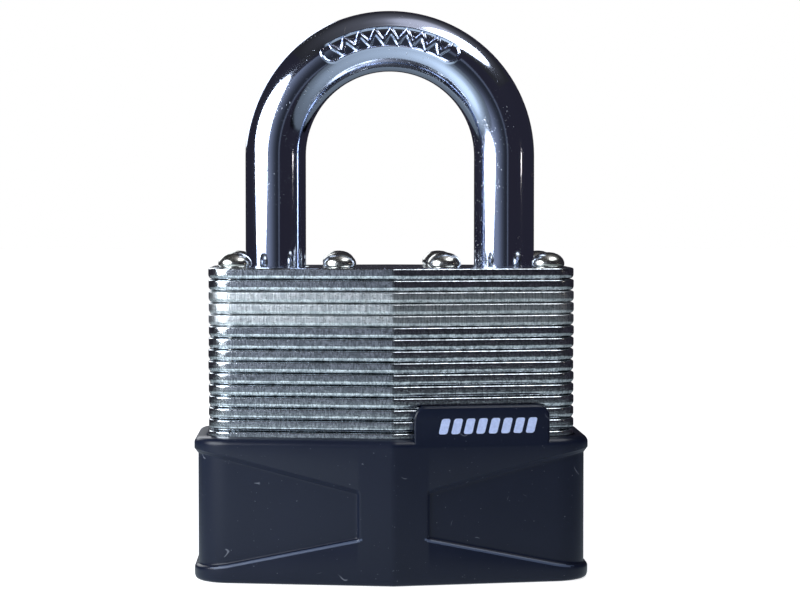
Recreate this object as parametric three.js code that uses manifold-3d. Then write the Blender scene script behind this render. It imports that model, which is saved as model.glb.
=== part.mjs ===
// A laminated steel padlock: a riveted stack of plates, a bent shackle, a pin-tumbler cylinder that works
// two locking levers, and a moulded plastic bumper round the foot of the body.
// Millimetres, +Z up, front towards -Y. The origin is on the resting face, under the middle of the body.
import * as THREE from "three";
import Module from "manifold-3d";
import { mergeVertices } from "three/addons/utils/BufferGeometryUtils.js";

const wasm = await Module();
wasm.setup();

// ---- Body ----
const BODY_WIDTH = 50.6;
const BODY_DEPTH = 27; // between the front and back ridges
const FACET_SLOPE = 0.165; // each face falls back this much per millimetre away from its ridge
const CORNER_RADIUS = 3.6;
const PLATE_COUNT = 26;
const PLATE_PITCH = 1.6;
const PLATE_THICKNESS = 1.55;
const BODY_BOTTOM = 1.5;
const BODY_TOP = BODY_BOTTOM + PLATE_COUNT * PLATE_PITCH;

// ---- Rivets: two rows of four ----
const RIVET_SPOTS = [[-21.6, 7.4], [-7.2, 8], [7.2, 8], [21.6, 7.4]]; // X, and Y either side of the middle
const RIVET_RADIUS = 1.6;
const RIVET_HOLE_RADIUS = 1.9;
const RIVET_HEAD_RADIUS = 2.3;
const RIVET_HEAD_HEIGHT = 2;
const RIVET_SIDES = 8;
const RIVET_HOLE_SIDES = 6;

// ---- Shackle ----
const ROD_RADIUS = 4.25;
const LEG_X = 16.1; // half the distance between the legs, and the radius of the bow
const BOW_CENTRE_Z = BODY_TOP + 15.6;
const LEG_HOLE_RADIUS = 4.6;
const LEG_SIDES = 14;
const LEG_HOLE_SIDES = 12;
const LIFT = 12;
const NOTCH_DEPTH = 1.8;
const NOTCH_SLACK = 0.25;
const NECK_RADIUS = 2.5; // the heel leg's thin end, which runs through the retaining plate
const NECK_HOLE_RADIUS = 2.9;

// ---- Which plates hold what, counted from 1 at the bottom ----
const SPRING_FLOOR_PLATE = 2;
const CYLINDER_TOP_PLATE = 14;
const RETAINING_PLATE = 17;
const TOE_FLOOR_PLATE = 19;
const HEEL_LEVER_PLATES = [20, 21];
const TOE_LEVER_PLATES = [22, 23];

// ---- Levers and the cam that draws them in ----
const LEVER_TRAVEL = 1.75;
const LEVER_THICKNESS = 3;
const LEVER_HALF_WIDTH = 5.2;
const LEVER_NOSE_HALF_WIDTH = 3.1;
const LEVER_SHOULDER_X = 8.3;
const LEVER_TIP_X = 11.55;
const LEVER_TAIL_X = 5.3;
const WINDOW_HALF = 3.9;
const CAM_LONG = 3.6;
const CAM_SHORT = CAM_LONG - LEVER_TRAVEL;
const CAM_STEM_RADIUS = 2.9;
const STEM_HOLE_RADIUS = 3.4;
const POCKET_CLEARANCE = 0.3;
const POCKET_BACK_X = 8.4;
const POCKET_SHOULDER_X = LEVER_SHOULDER_X + LEVER_TRAVEL + POCKET_CLEARANCE;

// ---- Lock cylinder ----
const SHELL_RADIUS = 6.4;
const SHELL_BORE_RADIUS = 4.75;
const SHELL_HALF_BIBLE = 3.2;
const SHELL_REACH = 15;
const SHELL_CLEARANCE = 0.25;
const PLUG_RADIUS = 4.5;
const PLUG_TOP_ABOVE_SHELL = 1.4;
const KEYWAY_WIDTH = 2.2;
const KEYWAY_LOW = -3.5;
const KEYWAY_HIGH = 3.3;
const KEYWAY_TOP_Z = 21.5;
const PIN_Z = [7, 10.8, 14.6, 18.4];
const PIN_RADIUS = 1.3;
const CHAMBER_RADIUS = 1.55;
const KEY_PIN_LENGTHS = [2.0, 2.6, 2.3, 2.9];
const KEY_PIN_OUTER = 4.4;
const CHAMBER_FLOOR = 0.7;
const DRIVER_INNER = 4.9;
const DRIVER_LENGTH = 4.3;
const CAP_INNER = 14.15;
const CAP_OUTER = 14.9;
const CAP_HALF_WIDTH = 1.85;
const CAP_MARGIN = 2.35; // how far the cap reaches past the first and last pin
const CAP_CLEARANCE = 0.3;

// ---- Bumper ----
const FLOOR_TOP = 1.4;
const BUMPER_TOP = 19.9;
const LIP_GROW = 2; // how far the lips and the raised band stand out from the plates
const WALL_GROW = 1.45; // how far the sunk panels stand out from the plates
const FIT_GROW = 0.2;
const LIP_SLANT = 0.6;
const KEY_OPENING_RADIUS = 7.5;
const PANEL_INNER_X = 4.2;
const PANEL_OUTER_X = 24.7;
const PANEL_INNER_Z = [6.2, 13];
const PANEL_OUTER_Z = [1.8, 18.1];
const TAB_X = [2.8, 21.5];
const TAB_TOP = 24.35;
const TAB_CORNER = 1.6;

// ---- Materials ----
function finish(color, roughness, metalness) {
  return new THREE.MeshStandardMaterial({ color, roughness, metalness });
}
const zincPlate = finish(0xb9c1c6, 0.32, 1);
const chrome = finish(0xc9d0dc, 0.08, 1);
const rivetSteel = finish(0xbfbfb6, 0.18, 1);
const hardSteel = finish(0x8d9094, 0.4, 1);
const brass = finish(0xc2a15a, 0.3, 1);
const springSteel = finish(0x9aa0a6, 0.3, 1);
const blackPlastic = finish(0x20242f, 0.42, 0);

// ---- Shape helpers ----
const plateBottom = (number) => BODY_BOTTOM + (number - 1) * PLATE_PITCH;
const plateTop = (number) => plateBottom(number) + PLATE_THICKNESS;
const point = (x, y) => new THREE.Vector2(x, y);

// Points of an arc from one angle to another, both ends included.
function arc(x, y, radius, from, to, steps) {
  return Array.from({ length: steps + 1 }, (_, i) => {
    const angle = from + ((to - from) * i) / steps;
    return point(x + radius * Math.cos(angle), y + radius * Math.sin(angle));
  });
}

const circle = (x, y, radius, sides) => arc(x, y, radius, 0, 2 * Math.PI, sides).slice(0, -1);

const rectangle = (x0, y0, x1, y1) => [point(x0, y0), point(x1, y0), point(x1, y1), point(x0, y1)];

// The body's plan, moved out by grow: two faces with a shallow ridge each, flat sides and round corners.
function bodyPlan(grow, steps = 3) {
  const lean = Math.hypot(1, FACET_SLOPE);
  const halfWidth = BODY_WIDTH / 2 + grow;
  const ridge = BODY_DEPTH / 2 + grow * lean;
  const radius = CORNER_RADIUS + grow;
  const cornerX = halfWidth - radius;
  const cornerY = ridge - FACET_SLOPE * cornerX - radius * lean;
  const sweep = Math.PI / 2 - Math.atan(FACET_SLOPE);
  const quarter = arc(cornerX, cornerY, radius, 0, sweep, steps);
  const flip = (sx, sy) => (p) => point(sx * p.x, sy * p.y);
  return [
    ...quarter,
    point(0, ridge),
    ...quarter.map(flip(-1, 1)).reverse(),
    ...quarter.map(flip(-1, -1)),
    point(0, -ridge),
    ...quarter.map(flip(1, -1)).reverse(),
  ];
}

// A prism over a plan, from zLow to zHigh.
function prism(plan, zLow, zHigh, holes = []) {
  const shape = new THREE.Shape(plan);
  shape.holes = holes.map((hole) => new THREE.Path(hole));
  const geometry = new THREE.ExtrudeGeometry(shape, { depth: zHigh - zLow, bevelEnabled: false });
  return geometry.translate(0, 0, zLow);
}

// A prism whose outline is drawn in X and Z, running along Y from yLow to yHigh.
function crossPrism(outline, yLow, yHigh) {
  const flat = outline.map((p) => point(p.x, -p.y)).reverse();
  return prism(flat, yLow, yHigh).rotateX(-Math.PI / 2);
}

// A turned piece about Z from [radius, z] pairs that start and end on the axis, given from the top down.
function turned(profile, sides) {
  const points = profile.map(([radius, z]) => point(radius, z)).reverse();
  return new THREE.LatheGeometry(points, sides).rotateX(Math.PI / 2);
}

// A box between two corners.
function block(low, high) {
  const size = high.map((v, i) => v - low[i]);
  const middle = high.map((v, i) => (v + low[i]) / 2);
  return new THREE.BoxGeometry(...size).translate(...middle);
}

// A coil spring along +Z from z 0 to length, as a wire swept along a helix.
function coil(meanRadius, wireRadius, length, turns, stepsPerTurn, wireSides) {
  class Helix extends THREE.Curve {
    getPoint(t) {
      const angle = 2 * Math.PI * turns * t;
      const z = wireRadius + (length - 2 * wireRadius) * t;
      return new THREE.Vector3(meanRadius * Math.cos(angle), meanRadius * Math.sin(angle), z);
    }
  }
  const wire = new THREE.Shape(circle(0, 0, wireRadius, wireSides));
  return new THREE.ExtrudeGeometry(wire, { extrudePath: new Helix(), steps: turns * stepsPerTurn });
}

// ---- Boolean helpers ----
function solid(geometry) {
  const bare = geometry.clone();
  bare.deleteAttribute("normal");
  bare.deleteAttribute("uv");
  const merged = mergeVertices(bare, 1e-4);
  const vertProperties = merged.attributes.position.array;
  const triVerts = new Uint32Array(merged.index.array);
  return new wasm.Manifold(new wasm.Mesh({ numProp: 3, vertProperties, triVerts }));
}

function geometryOf(manifold) {
  const mesh = manifold.getMesh();
  const geometry = new THREE.BufferGeometry();
  geometry.setAttribute("position", new THREE.BufferAttribute(mesh.vertProperties, 3));
  geometry.setIndex(new THREE.BufferAttribute(mesh.triVerts, 1));
  return geometry;
}

const padlock = new THREE.Group();

function add(name, geometry, material) {
  const mesh = new THREE.Mesh(geometry, material);
  mesh.name = name;
  padlock.add(mesh);
}

// ---- Plates ----
const heelHole = circle(-LEG_X, 0, LEG_HOLE_RADIUS, LEG_HOLE_SIDES);
const toeHole = circle(LEG_X, 0, LEG_HOLE_RADIUS, LEG_HOLE_SIDES);

// The cylinder's opening: a round bore with a square-ended branch for the pin chambers.
function cylinderOpening() {
  const radius = SHELL_RADIUS + SHELL_CLEARANCE;
  const half = SHELL_HALF_BIBLE + SHELL_CLEARANCE;
  const start = Math.asin(half / radius);
  return [
    ...arc(0, 0, radius, start, 2 * Math.PI - start, 10),
    point(SHELL_REACH + SHELL_CLEARANCE, -half),
    point(SHELL_REACH + SHELL_CLEARANCE, half),
  ];
}

// A lever's pocket, open into the leg hole on its own side. side is 1 for the toe, -1 for the heel.
function leverPocket(side) {
  const half = LEVER_HALF_WIDTH + POCKET_CLEARANCE;
  const nose = LEVER_NOSE_HALF_WIDTH + POCKET_CLEARANCE;
  const start = Math.asin(nose / LEG_HOLE_RADIUS);
  const right = [
    point(-POCKET_BACK_X, -half),
    point(POCKET_SHOULDER_X, -half),
    point(POCKET_SHOULDER_X, -nose),
    ...arc(LEG_X, 0, LEG_HOLE_RADIUS, start - Math.PI, Math.PI - start, 9),
    point(POCKET_SHOULDER_X, nose),
    point(POCKET_SHOULDER_X, half),
    point(-POCKET_BACK_X, half),
  ];
  return side > 0 ? right : right.map((p) => point(-p.x, p.y)).reverse();
}

// Every opening in one plate apart from its rivet holes.
function plateOpenings(number) {
  if (number === 1) return [circle(0, 0, SHELL_BORE_RADIUS + 0.1, LEG_HOLE_SIDES)];
  if (number === SPRING_FLOOR_PLATE) return [cylinderOpening()];
  if (number <= CYLINDER_TOP_PLATE) return [cylinderOpening(), heelHole];
  if (number === CYLINDER_TOP_PLATE + 1) return [circle(0, 0, SHELL_RADIUS - 0.5, LEG_HOLE_SIDES), heelHole];
  const stemHole = circle(0, 0, STEM_HOLE_RADIUS, LEG_HOLE_SIDES);
  if (number === RETAINING_PLATE) return [stemHole, circle(-LEG_X, 0, NECK_HOLE_RADIUS, LEG_HOLE_SIDES)];
  if (number <= TOE_FLOOR_PLATE) return [stemHole, heelHole];
  if (HEEL_LEVER_PLATES.includes(number)) return [leverPocket(-1), toeHole];
  if (TOE_LEVER_PLATES.includes(number)) return [leverPocket(1), heelHole];
  return [heelHole, toeHole];
}

const rivetHoles = [-1, 1].flatMap((side) =>
  RIVET_SPOTS.map(([x, y]) => circle(x, side * y, RIVET_HOLE_RADIUS, RIVET_HOLE_SIDES)),
);

for (let number = 1; number <= PLATE_COUNT; number++) {
  const holes = [...rivetHoles, ...plateOpenings(number)];
  const geometry = prism(bodyPlan(0), plateBottom(number), plateTop(number), holes);
  add(`plate_${String(number).padStart(2, "0")}`, geometry, zincPlate);
}

// ---- Rivets, with a domed head above the top plate and a flush foot in the bottom plate ----
function rivet() {
  const seat = BODY_TOP + 0.05;
  const dome = [0, 0.38, 0.7, 0.92, 1].map((share) => {
    const angle = (1 - share) * (Math.PI / 2);
    return [RIVET_HEAD_RADIUS * Math.cos(angle), seat + RIVET_HEAD_HEIGHT * Math.sin(angle)];
  });
  const foot = BODY_BOTTOM + 0.05;
  return turned([...dome, [RIVET_RADIUS, seat], [RIVET_RADIUS, foot], [0, foot]], RIVET_SIDES);
}

for (const [row, side] of [["front", -1], ["back", 1]]) {
  RIVET_SPOTS.forEach(([x, y], i) => add(`rivet_${row}_${i + 1}`, rivet().translate(x, side * y, 0), rivetSteel));
}

// ---- Shackle ----
const heelLeverZ = plateBottom(HEEL_LEVER_PLATES[0]) + 0.1;
const toeLeverZ = plateBottom(TOE_LEVER_PLATES[0]) + 0.1;
const toeEndZ = plateTop(TOE_FLOOR_PLATE) + 0.35;
const heelShoulderZ = plateTop(RETAINING_PLATE) + 0.35;
const clipTopZ = plateBottom(RETAINING_PLATE) - 0.1 - LIFT;
const CLIP_THICKNESS = 1;
const CLIP_GROOVE_RADIUS = 1.9;
const HEEL_END_BELOW_CLIP = 0.8;
const heelEndZ = clipTopZ - CLIP_THICKNESS - HEEL_END_BELOW_CLIP;

function shackle() {
  const toeChamfer = 1;
  const bow = new THREE.CurvePath();
  const at = (x, z) => new THREE.Vector3(x, 0, z);
  class HalfTurn extends THREE.Curve {
    getPoint(t) {
      return at(LEG_X * Math.cos(Math.PI * t), BOW_CENTRE_Z + LEG_X * Math.sin(Math.PI * t));
    }
  }
  bow.add(new THREE.LineCurve3(at(LEG_X, toeEndZ + toeChamfer), at(LEG_X, BOW_CENTRE_Z)));
  bow.add(new HalfTurn());
  bow.add(new THREE.LineCurve3(at(-LEG_X, BOW_CENTRE_Z), at(-LEG_X, heelShoulderZ)));
  const section = new THREE.Shape(circle(0, 0, ROD_RADIUS, LEG_SIDES));
  const rod = new THREE.ExtrudeGeometry(section, { extrudePath: bow, steps: 34 });
  const toe = turned(
    [
      [0, toeEndZ + 2 * toeChamfer],
      [ROD_RADIUS * 0.95, toeEndZ + 2 * toeChamfer],
      [ROD_RADIUS * 0.95, toeEndZ + toeChamfer],
      [ROD_RADIUS * 0.7, toeEndZ],
      [0, toeEndZ],
    ],
    LEG_SIDES,
  ).translate(LEG_X, 0, 0);
  const grooveTop = clipTopZ + 0.1;
  const grooveBottom = clipTopZ - CLIP_THICKNESS - 0.1;
  const neck = turned(
    [
      [0, heelShoulderZ + 1],
      [NECK_RADIUS, heelShoulderZ + 1],
      [NECK_RADIUS, grooveTop],
      [CLIP_GROOVE_RADIUS, grooveTop],
      [CLIP_GROOVE_RADIUS, grooveBottom],
      [NECK_RADIUS, grooveBottom],
      [NECK_RADIUS, heelEndZ],
      [0, heelEndZ],
    ],
    LEG_SIDES,
  ).translate(-LEG_X, 0, 0);
  const notch = (side, leverZ) => {
    const inner = side * (LEG_X - ROD_RADIUS - 1);
    const outer = side * (LEG_X - ROD_RADIUS + NOTCH_DEPTH);
    const low = [Math.min(inner, outer), -ROD_RADIUS - 1, leverZ - NOTCH_SLACK];
    const high = [Math.max(inner, outer), ROD_RADIUS + 1, leverZ + LEVER_THICKNESS + NOTCH_SLACK];
    return solid(block(low, high));
  };
  const joined = solid(rod).add(solid(toe)).add(solid(neck));
  return geometryOf(joined.subtract(notch(1, toeLeverZ)).subtract(notch(-1, heelLeverZ)));
}

add("shackle", shackle(), chrome);

// A split ring lying flat, open towards +Y.
function splitRing(inner, outer, openHalfAngle, zLow, zHigh, steps) {
  const from = Math.PI / 2 + openHalfAngle;
  const to = (5 * Math.PI) / 2 - openHalfAngle;
  const plan = [...arc(0, 0, outer, from, to, steps), ...arc(0, 0, inner, to, from, steps)];
  return prism(plan, zLow, zHigh);
}

const clip = splitRing(CLIP_GROOVE_RADIUS + 0.15, 3.9, 0.5, clipTopZ - CLIP_THICKNESS, clipTopZ, 10);
add("shackle_retaining_clip", clip.translate(-LEG_X, 0, 0), springSteel);

const shackleSpringFoot = plateTop(SPRING_FLOOR_PLATE) + 0.1;
const shackleSpring = coil(3.3, 0.45, heelEndZ - 0.15 - shackleSpringFoot, 5, 10, 5);
add("shackle_spring", shackleSpring.translate(-LEG_X, 0, shackleSpringFoot), springSteel);

// ---- Locking levers: each is drawn in by the cam inside its window and pushed out by its own spring ----
function lever(side, zLow) {
  const outline = [
    point(-LEVER_TAIL_X, -LEVER_HALF_WIDTH),
    point(LEVER_SHOULDER_X, -LEVER_HALF_WIDTH),
    point(LEVER_SHOULDER_X, -LEVER_NOSE_HALF_WIDTH),
    point(LEVER_TIP_X, -LEVER_NOSE_HALF_WIDTH),
    point(LEVER_TIP_X, LEVER_NOSE_HALF_WIDTH),
    point(LEVER_SHOULDER_X, LEVER_NOSE_HALF_WIDTH),
    point(LEVER_SHOULDER_X, LEVER_HALF_WIDTH),
    point(-LEVER_TAIL_X, LEVER_HALF_WIDTH),
  ];
  const window = rectangle(-WINDOW_HALF, -WINDOW_HALF, WINDOW_HALF, WINDOW_HALF);
  const plate = prism(outline, zLow, zLow + LEVER_THICKNESS, [window]);
  return side > 0 ? plate : plate.rotateZ(Math.PI);
}

add("locking_lever_toe", lever(1, toeLeverZ), hardSteel);
add("locking_lever_heel", lever(-1, heelLeverZ), hardSteel);

const LEVER_SPRING_LENGTH = POCKET_BACK_X - LEVER_TAIL_X - 0.3;
for (const [name, side, leverZ] of [["toe", 1, toeLeverZ], ["heel", -1, heelLeverZ]]) {
  const spring = coil(1, 0.2, LEVER_SPRING_LENGTH, 4, 8, 4).rotateY(Math.PI / 2);
  spring.translate(-POCKET_BACK_X + 0.15, 0, leverZ + LEVER_THICKNESS / 2);
  if (side < 0) spring.rotateZ(Math.PI);
  add(`lever_spring_${name}`, spring, springSteel);
}

// ---- Cylinder: shell, chamber cap, plug, plug clip and cam ----
const shellBottom = plateTop(1) + 0.15;
const shellTop = plateTop(CYLINDER_TOP_PLATE) - 0.1;
const plugBottom = BODY_BOTTOM + 0.25;
const plugTop = shellTop + PLUG_TOP_ABOVE_SHELL;

// A round chamber along +X at height z, from xLow to xHigh.
function chamber(xLow, xHigh, z, radius) {
  const drill = new THREE.CylinderGeometry(radius, radius, xHigh - xLow, 8);
  return solid(drill.rotateZ(Math.PI / 2).translate((xLow + xHigh) / 2, 0, z));
}

function cylinderShell() {
  const barrel = solid(prism(circle(0, 0, SHELL_RADIUS, 20), shellBottom, shellTop));
  const bible = solid(block([1, -SHELL_HALF_BIBLE, shellBottom], [SHELL_REACH, SHELL_HALF_BIBLE, shellTop]));
  const bore = solid(prism(circle(0, 0, SHELL_BORE_RADIUS, 20), shellBottom - 1, shellTop + 1));
  const slotHalf = CAP_HALF_WIDTH + CAP_CLEARANCE;
  const slotMargin = CAP_MARGIN + CAP_CLEARANCE;
  const capSlot = block(
    [CAP_INNER - 0.15, -slotHalf, PIN_Z[0] - slotMargin],
    [SHELL_REACH + 1, slotHalf, PIN_Z[3] + slotMargin],
  );
  const drill = (left, z) => left.subtract(chamber(2, CAP_INNER, z, CHAMBER_RADIUS));
  return geometryOf(PIN_Z.reduce(drill, barrel.add(bible)).subtract(bore).subtract(solid(capSlot)));
}

add("cylinder_shell", cylinderShell(), brass);
const cap = block(
  [CAP_INNER, -CAP_HALF_WIDTH, PIN_Z[0] - CAP_MARGIN],
  [CAP_OUTER, CAP_HALF_WIDTH, PIN_Z[3] + CAP_MARGIN],
);
add("pin_chamber_cap", cap, brass);

// The plug is made with its chambers along +X, then turned back until they point at -Y, the open position.
const PLUG_REST_TURN = -Math.PI / 2;
const PLUG_CLIP_GROOVE = 3.5;
const DRIVE_SLOT_DEPTH = 0.9;
const DRIVE_SLOT_HALF = 1.1;

function plug() {
  const grooveLow = shellTop + 0.1;
  const grooveHigh = grooveLow + 0.7;
  const body = turned(
    [
      [0, plugTop],
      [PLUG_RADIUS - 0.4, plugTop],
      [PLUG_RADIUS - 0.4, grooveHigh],
      [PLUG_CLIP_GROOVE, grooveHigh],
      [PLUG_CLIP_GROOVE, grooveLow],
      [PLUG_RADIUS, grooveLow],
      [PLUG_RADIUS, plugBottom],
      [0, plugBottom],
    ],
    20,
  );
  const half = KEYWAY_WIDTH / 2;
  const keyway = block([KEYWAY_LOW, -half, plugBottom - 1], [KEYWAY_HIGH, half, KEYWAY_TOP_Z]);
  const driveSlot = block(
    [-PLUG_RADIUS, -DRIVE_SLOT_HALF, plugTop - DRIVE_SLOT_DEPTH],
    [PLUG_RADIUS, DRIVE_SLOT_HALF, plugTop + 1],
  );
  const cut = solid(body).subtract(solid(keyway)).subtract(solid(driveSlot));
  const drill = (left, z) => left.subtract(chamber(CHAMBER_FLOOR, PLUG_RADIUS + 1, z, CHAMBER_RADIUS));
  return geometryOf(PIN_Z.reduce(drill, cut)).rotateZ(PLUG_REST_TURN);
}

add("cylinder_plug", plug(), brass);
const plugClip = splitRing(PLUG_CLIP_GROOVE + 0.15, 5.3, 0.45, shellTop + 0.15, shellTop + 0.7, 12);
add("plug_clip", plugClip, springSteel);

function cam() {
  const base = plugTop + 0.1;
  const lobeBottom = plateTop(TOE_FLOOR_PLATE) + 0.07; // just under the lower lever
  const lobeTop = toeLeverZ + LEVER_THICKNESS - 0.1;
  const stem = solid(prism(circle(0, 0, CAM_STEM_RADIUS, 16), base, lobeBottom));
  const ellipse = circle(0, 0, 1, 20).map((p) => point(p.x * CAM_LONG, p.y * CAM_SHORT));
  const lobe = solid(prism(ellipse, lobeBottom, lobeTop));
  const tongue = solid(
    block([-0.9, -PLUG_RADIUS + 1.8, plugTop - DRIVE_SLOT_DEPTH + 0.2], [0.9, PLUG_RADIUS - 1.8, base + 0.5]),
  );
  return geometryOf(stem.add(tongue).add(lobe));
}

add("cam", cam(), hardSteel);

// ---- Pin stacks ----
PIN_Z.forEach((z, i) => {
  const length = KEY_PIN_LENGTHS[i];
  const cone = 0.9;
  const key = turned(
    [
      [0, KEY_PIN_OUTER],
      [PIN_RADIUS, KEY_PIN_OUTER - 0.15],
      [PIN_RADIUS, KEY_PIN_OUTER - length + cone],
      [0.35, KEY_PIN_OUTER - length],
      [0, KEY_PIN_OUTER - length],
    ],
    8,
  );
  add(`key_pin_${i + 1}`, key.rotateX(Math.PI / 2).translate(0, 0, z), brass);

  const driver = turned(
    [
      [0, DRIVER_INNER + DRIVER_LENGTH],
      [PIN_RADIUS - 0.2, DRIVER_INNER + DRIVER_LENGTH],
      [PIN_RADIUS, DRIVER_INNER + DRIVER_LENGTH - 0.2],
      [PIN_RADIUS, DRIVER_INNER + 0.2],
      [PIN_RADIUS - 0.2, DRIVER_INNER],
      [0, DRIVER_INNER],
    ],
    8,
  );
  add(`driver_pin_${i + 1}`, driver.rotateY(Math.PI / 2).translate(0, 0, z), brass);

  const springFoot = DRIVER_INNER + DRIVER_LENGTH + 0.15;
  const spring = coil(1, 0.16, CAP_INNER - 0.15 - springFoot, 5, 8, 4);
  add(`driver_spring_${i + 1}`, spring.rotateY(Math.PI / 2).translate(springFoot, 0, z), springSteel);
});

// ---- Bumper ----
// One sunk panel: a trapezium that widens outwards and wraps round the side.
// side is 1 for the right panel and -1 for the left one.
function panelCutter(side) {
  const beyond = BODY_WIDTH;
  const outline = [
    point(PANEL_INNER_X, PANEL_INNER_Z[0]),
    point(PANEL_OUTER_X, PANEL_OUTER_Z[0]),
    point(beyond, PANEL_OUTER_Z[0]),
    point(beyond, PANEL_OUTER_Z[1]),
    point(PANEL_OUTER_X, PANEL_OUTER_Z[1]),
    point(PANEL_INNER_X, PANEL_INNER_Z[1]),
  ];
  const facing = side > 0 ? outline : outline.map((p) => point(-p.x, p.y)).reverse();
  const core = solid(prism(bodyPlan(WALL_GROW), -1, BUMPER_TOP + 1));
  return solid(crossPrism(facing, -BODY_DEPTH, BODY_DEPTH)).subtract(core);
}

// The front tab beside the ridge, with rounded top corners, as thick as the lip stands out.
function tab() {
  const [left, right] = TAB_X;
  const outline = [
    point(left, BUMPER_TOP - 1.5),
    point(right, BUMPER_TOP - 1.5),
    ...arc(right - TAB_CORNER, TAB_TOP - TAB_CORNER, TAB_CORNER, 0, Math.PI / 2, 4),
    ...arc(left + TAB_CORNER, TAB_TOP - TAB_CORNER, TAB_CORNER, Math.PI / 2, Math.PI, 4),
  ];
  const wall = solid(prism(bodyPlan(LIP_GROW), BUMPER_TOP - 2, TAB_TOP + 1, [bodyPlan(FIT_GROW).reverse()]));
  return solid(crossPrism(outline, -BODY_DEPTH, 0)).intersect(wall);
}

function bumper() {
  const lowSteps = 4;
  const bevel = 0.9; // the rounded lower edge
  const level = (grow, zLow, zHigh) => solid(prism(bodyPlan(grow, lowSteps), zLow, zHigh));
  const straight = level(LIP_GROW, bevel, BUMPER_TOP - LIP_SLANT);
  const foot = level(LIP_GROW - bevel * 0.6, 0, BUMPER_TOP);
  const middle = level(LIP_GROW - bevel * 0.2, bevel / 3, BUMPER_TOP - LIP_SLANT / 2);
  const cavity = solid(prism(bodyPlan(FIT_GROW), FLOOR_TOP, BUMPER_TOP + 1));
  const opening = solid(prism(circle(0, 0, KEY_OPENING_RADIUS, 20), -1, FLOOR_TOP + 1));
  const shell = straight.add(foot).add(middle).subtract(panelCutter(1)).subtract(panelCutter(-1));
  return geometryOf(shell.subtract(cavity).subtract(opening).add(tab()));
}

add("bumper", bumper(), blackPlastic);

export default padlock;
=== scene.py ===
"""A laminated padlock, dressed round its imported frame.

It has rolled-edge plates, domed rivets, a stamped chrome shackle and a moulded bumper. Shapes are
worked out in millimetres and placed in metres, +Z up, with the front at -Y.
"""

import math
import random

import bmesh
import bpy
from mathutils import Matrix, Vector, geometry, noise


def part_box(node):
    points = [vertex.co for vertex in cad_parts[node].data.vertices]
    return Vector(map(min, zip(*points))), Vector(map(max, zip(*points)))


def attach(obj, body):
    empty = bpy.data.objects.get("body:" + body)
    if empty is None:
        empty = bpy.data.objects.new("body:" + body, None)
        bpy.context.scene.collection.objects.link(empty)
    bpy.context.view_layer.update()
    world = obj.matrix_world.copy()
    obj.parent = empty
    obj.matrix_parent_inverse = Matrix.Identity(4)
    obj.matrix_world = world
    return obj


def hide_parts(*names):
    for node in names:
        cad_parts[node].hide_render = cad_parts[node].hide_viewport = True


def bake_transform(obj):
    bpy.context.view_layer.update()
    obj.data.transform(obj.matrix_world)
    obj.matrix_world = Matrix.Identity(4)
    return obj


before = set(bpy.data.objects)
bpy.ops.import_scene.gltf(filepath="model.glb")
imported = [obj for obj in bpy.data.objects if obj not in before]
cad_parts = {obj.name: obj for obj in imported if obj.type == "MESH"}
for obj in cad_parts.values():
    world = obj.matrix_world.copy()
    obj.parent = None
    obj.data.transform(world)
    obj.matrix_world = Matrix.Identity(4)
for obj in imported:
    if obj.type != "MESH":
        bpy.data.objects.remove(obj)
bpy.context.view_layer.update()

MM = 0.001
scene = bpy.context.scene


def box_mm(node):
    low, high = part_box(node)
    return low / MM, high / MM


# ---- Camera, light and floor ----
CAMERA_PLACE = (-10, -323, 50.3)
CAMERA_TARGET = (1.4, 0, 38.28)
CAMERA_LENS = 103
SENSOR_WIDTH = 36
FLAT = (0, 0, 0)
UPRIGHT = (math.pi / 2, 0, 0)
# The floor lies just below the foot, so that the two faces never share a plane.
FLOOR_Z = -0.05
FLOOR_SIZE = 6000
TABLE_STRETCH = 1.4
# (distance, strength) pairs of the floor and of the cards that the metal reflects.
FLOOR_FALLOFF = [(0, 0.8), (120, 0.82), (300, 1), (400, 1)]
TABLE_FALLOFF = [
    (0, 1.45),
    (20, 1.4),
    (30, 1.25),
    (42, 0.98),
    (54, 0.76),
    (78, 0.56),
    (95, 0.46),
    (120, 0.30),
    (150, 0.24),
    (225, 0.2),
    (240, 0),
]
FRONT_FALLOFF = [
    (-280, 0.38),
    (-80, 0.34),
    (-30, 0.27),
    (30, 0.18),
    (95, 0.095),
    (160, 0.045),
    (228, 0.035),
    (236, 0.17),
    (268, 0.17),
    (276, 0.03),
    (280, 0.03),
]
CEILING_FALLOFF = [
    (0, 0.8),
    (70, 0.62),
    (95, 0.28),
    (115, 0.18),
    (140, 0.12),
    (200, 0.08),
    (250, 0.05),
    (320, 0.03),
]


def look_at(obj, place, target):
    obj.location = Vector(place) * MM
    obj.rotation_euler = (Vector(target) - Vector(place)).to_track_quat("-Z", "Y").to_euler()


def add_camera():
    data = bpy.data.cameras.new("camera")
    data.lens = CAMERA_LENS
    data.sensor_width = SENSOR_WIDTH
    data.clip_start = 0.01
    camera = bpy.data.objects.new("camera", data)
    scene.collection.objects.link(camera)
    look_at(camera, CAMERA_PLACE, CAMERA_TARGET)
    scene.camera = camera


def area_light(name, place, target, width, height, radiance, color):
    """An oval softbox whose face has the given radiance, and which the camera doesn't see."""
    data = bpy.data.lights.new(name, "AREA")
    data.shape = "ELLIPSE"
    data.size = width * MM
    data.size_y = height * MM
    data.energy = math.pi * (math.pi / 4) * data.size * data.size_y * radiance
    data.color = color
    light = bpy.data.objects.new(name, data)
    scene.collection.objects.link(light)
    look_at(light, place, target)
    light.visible_camera = False


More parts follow.
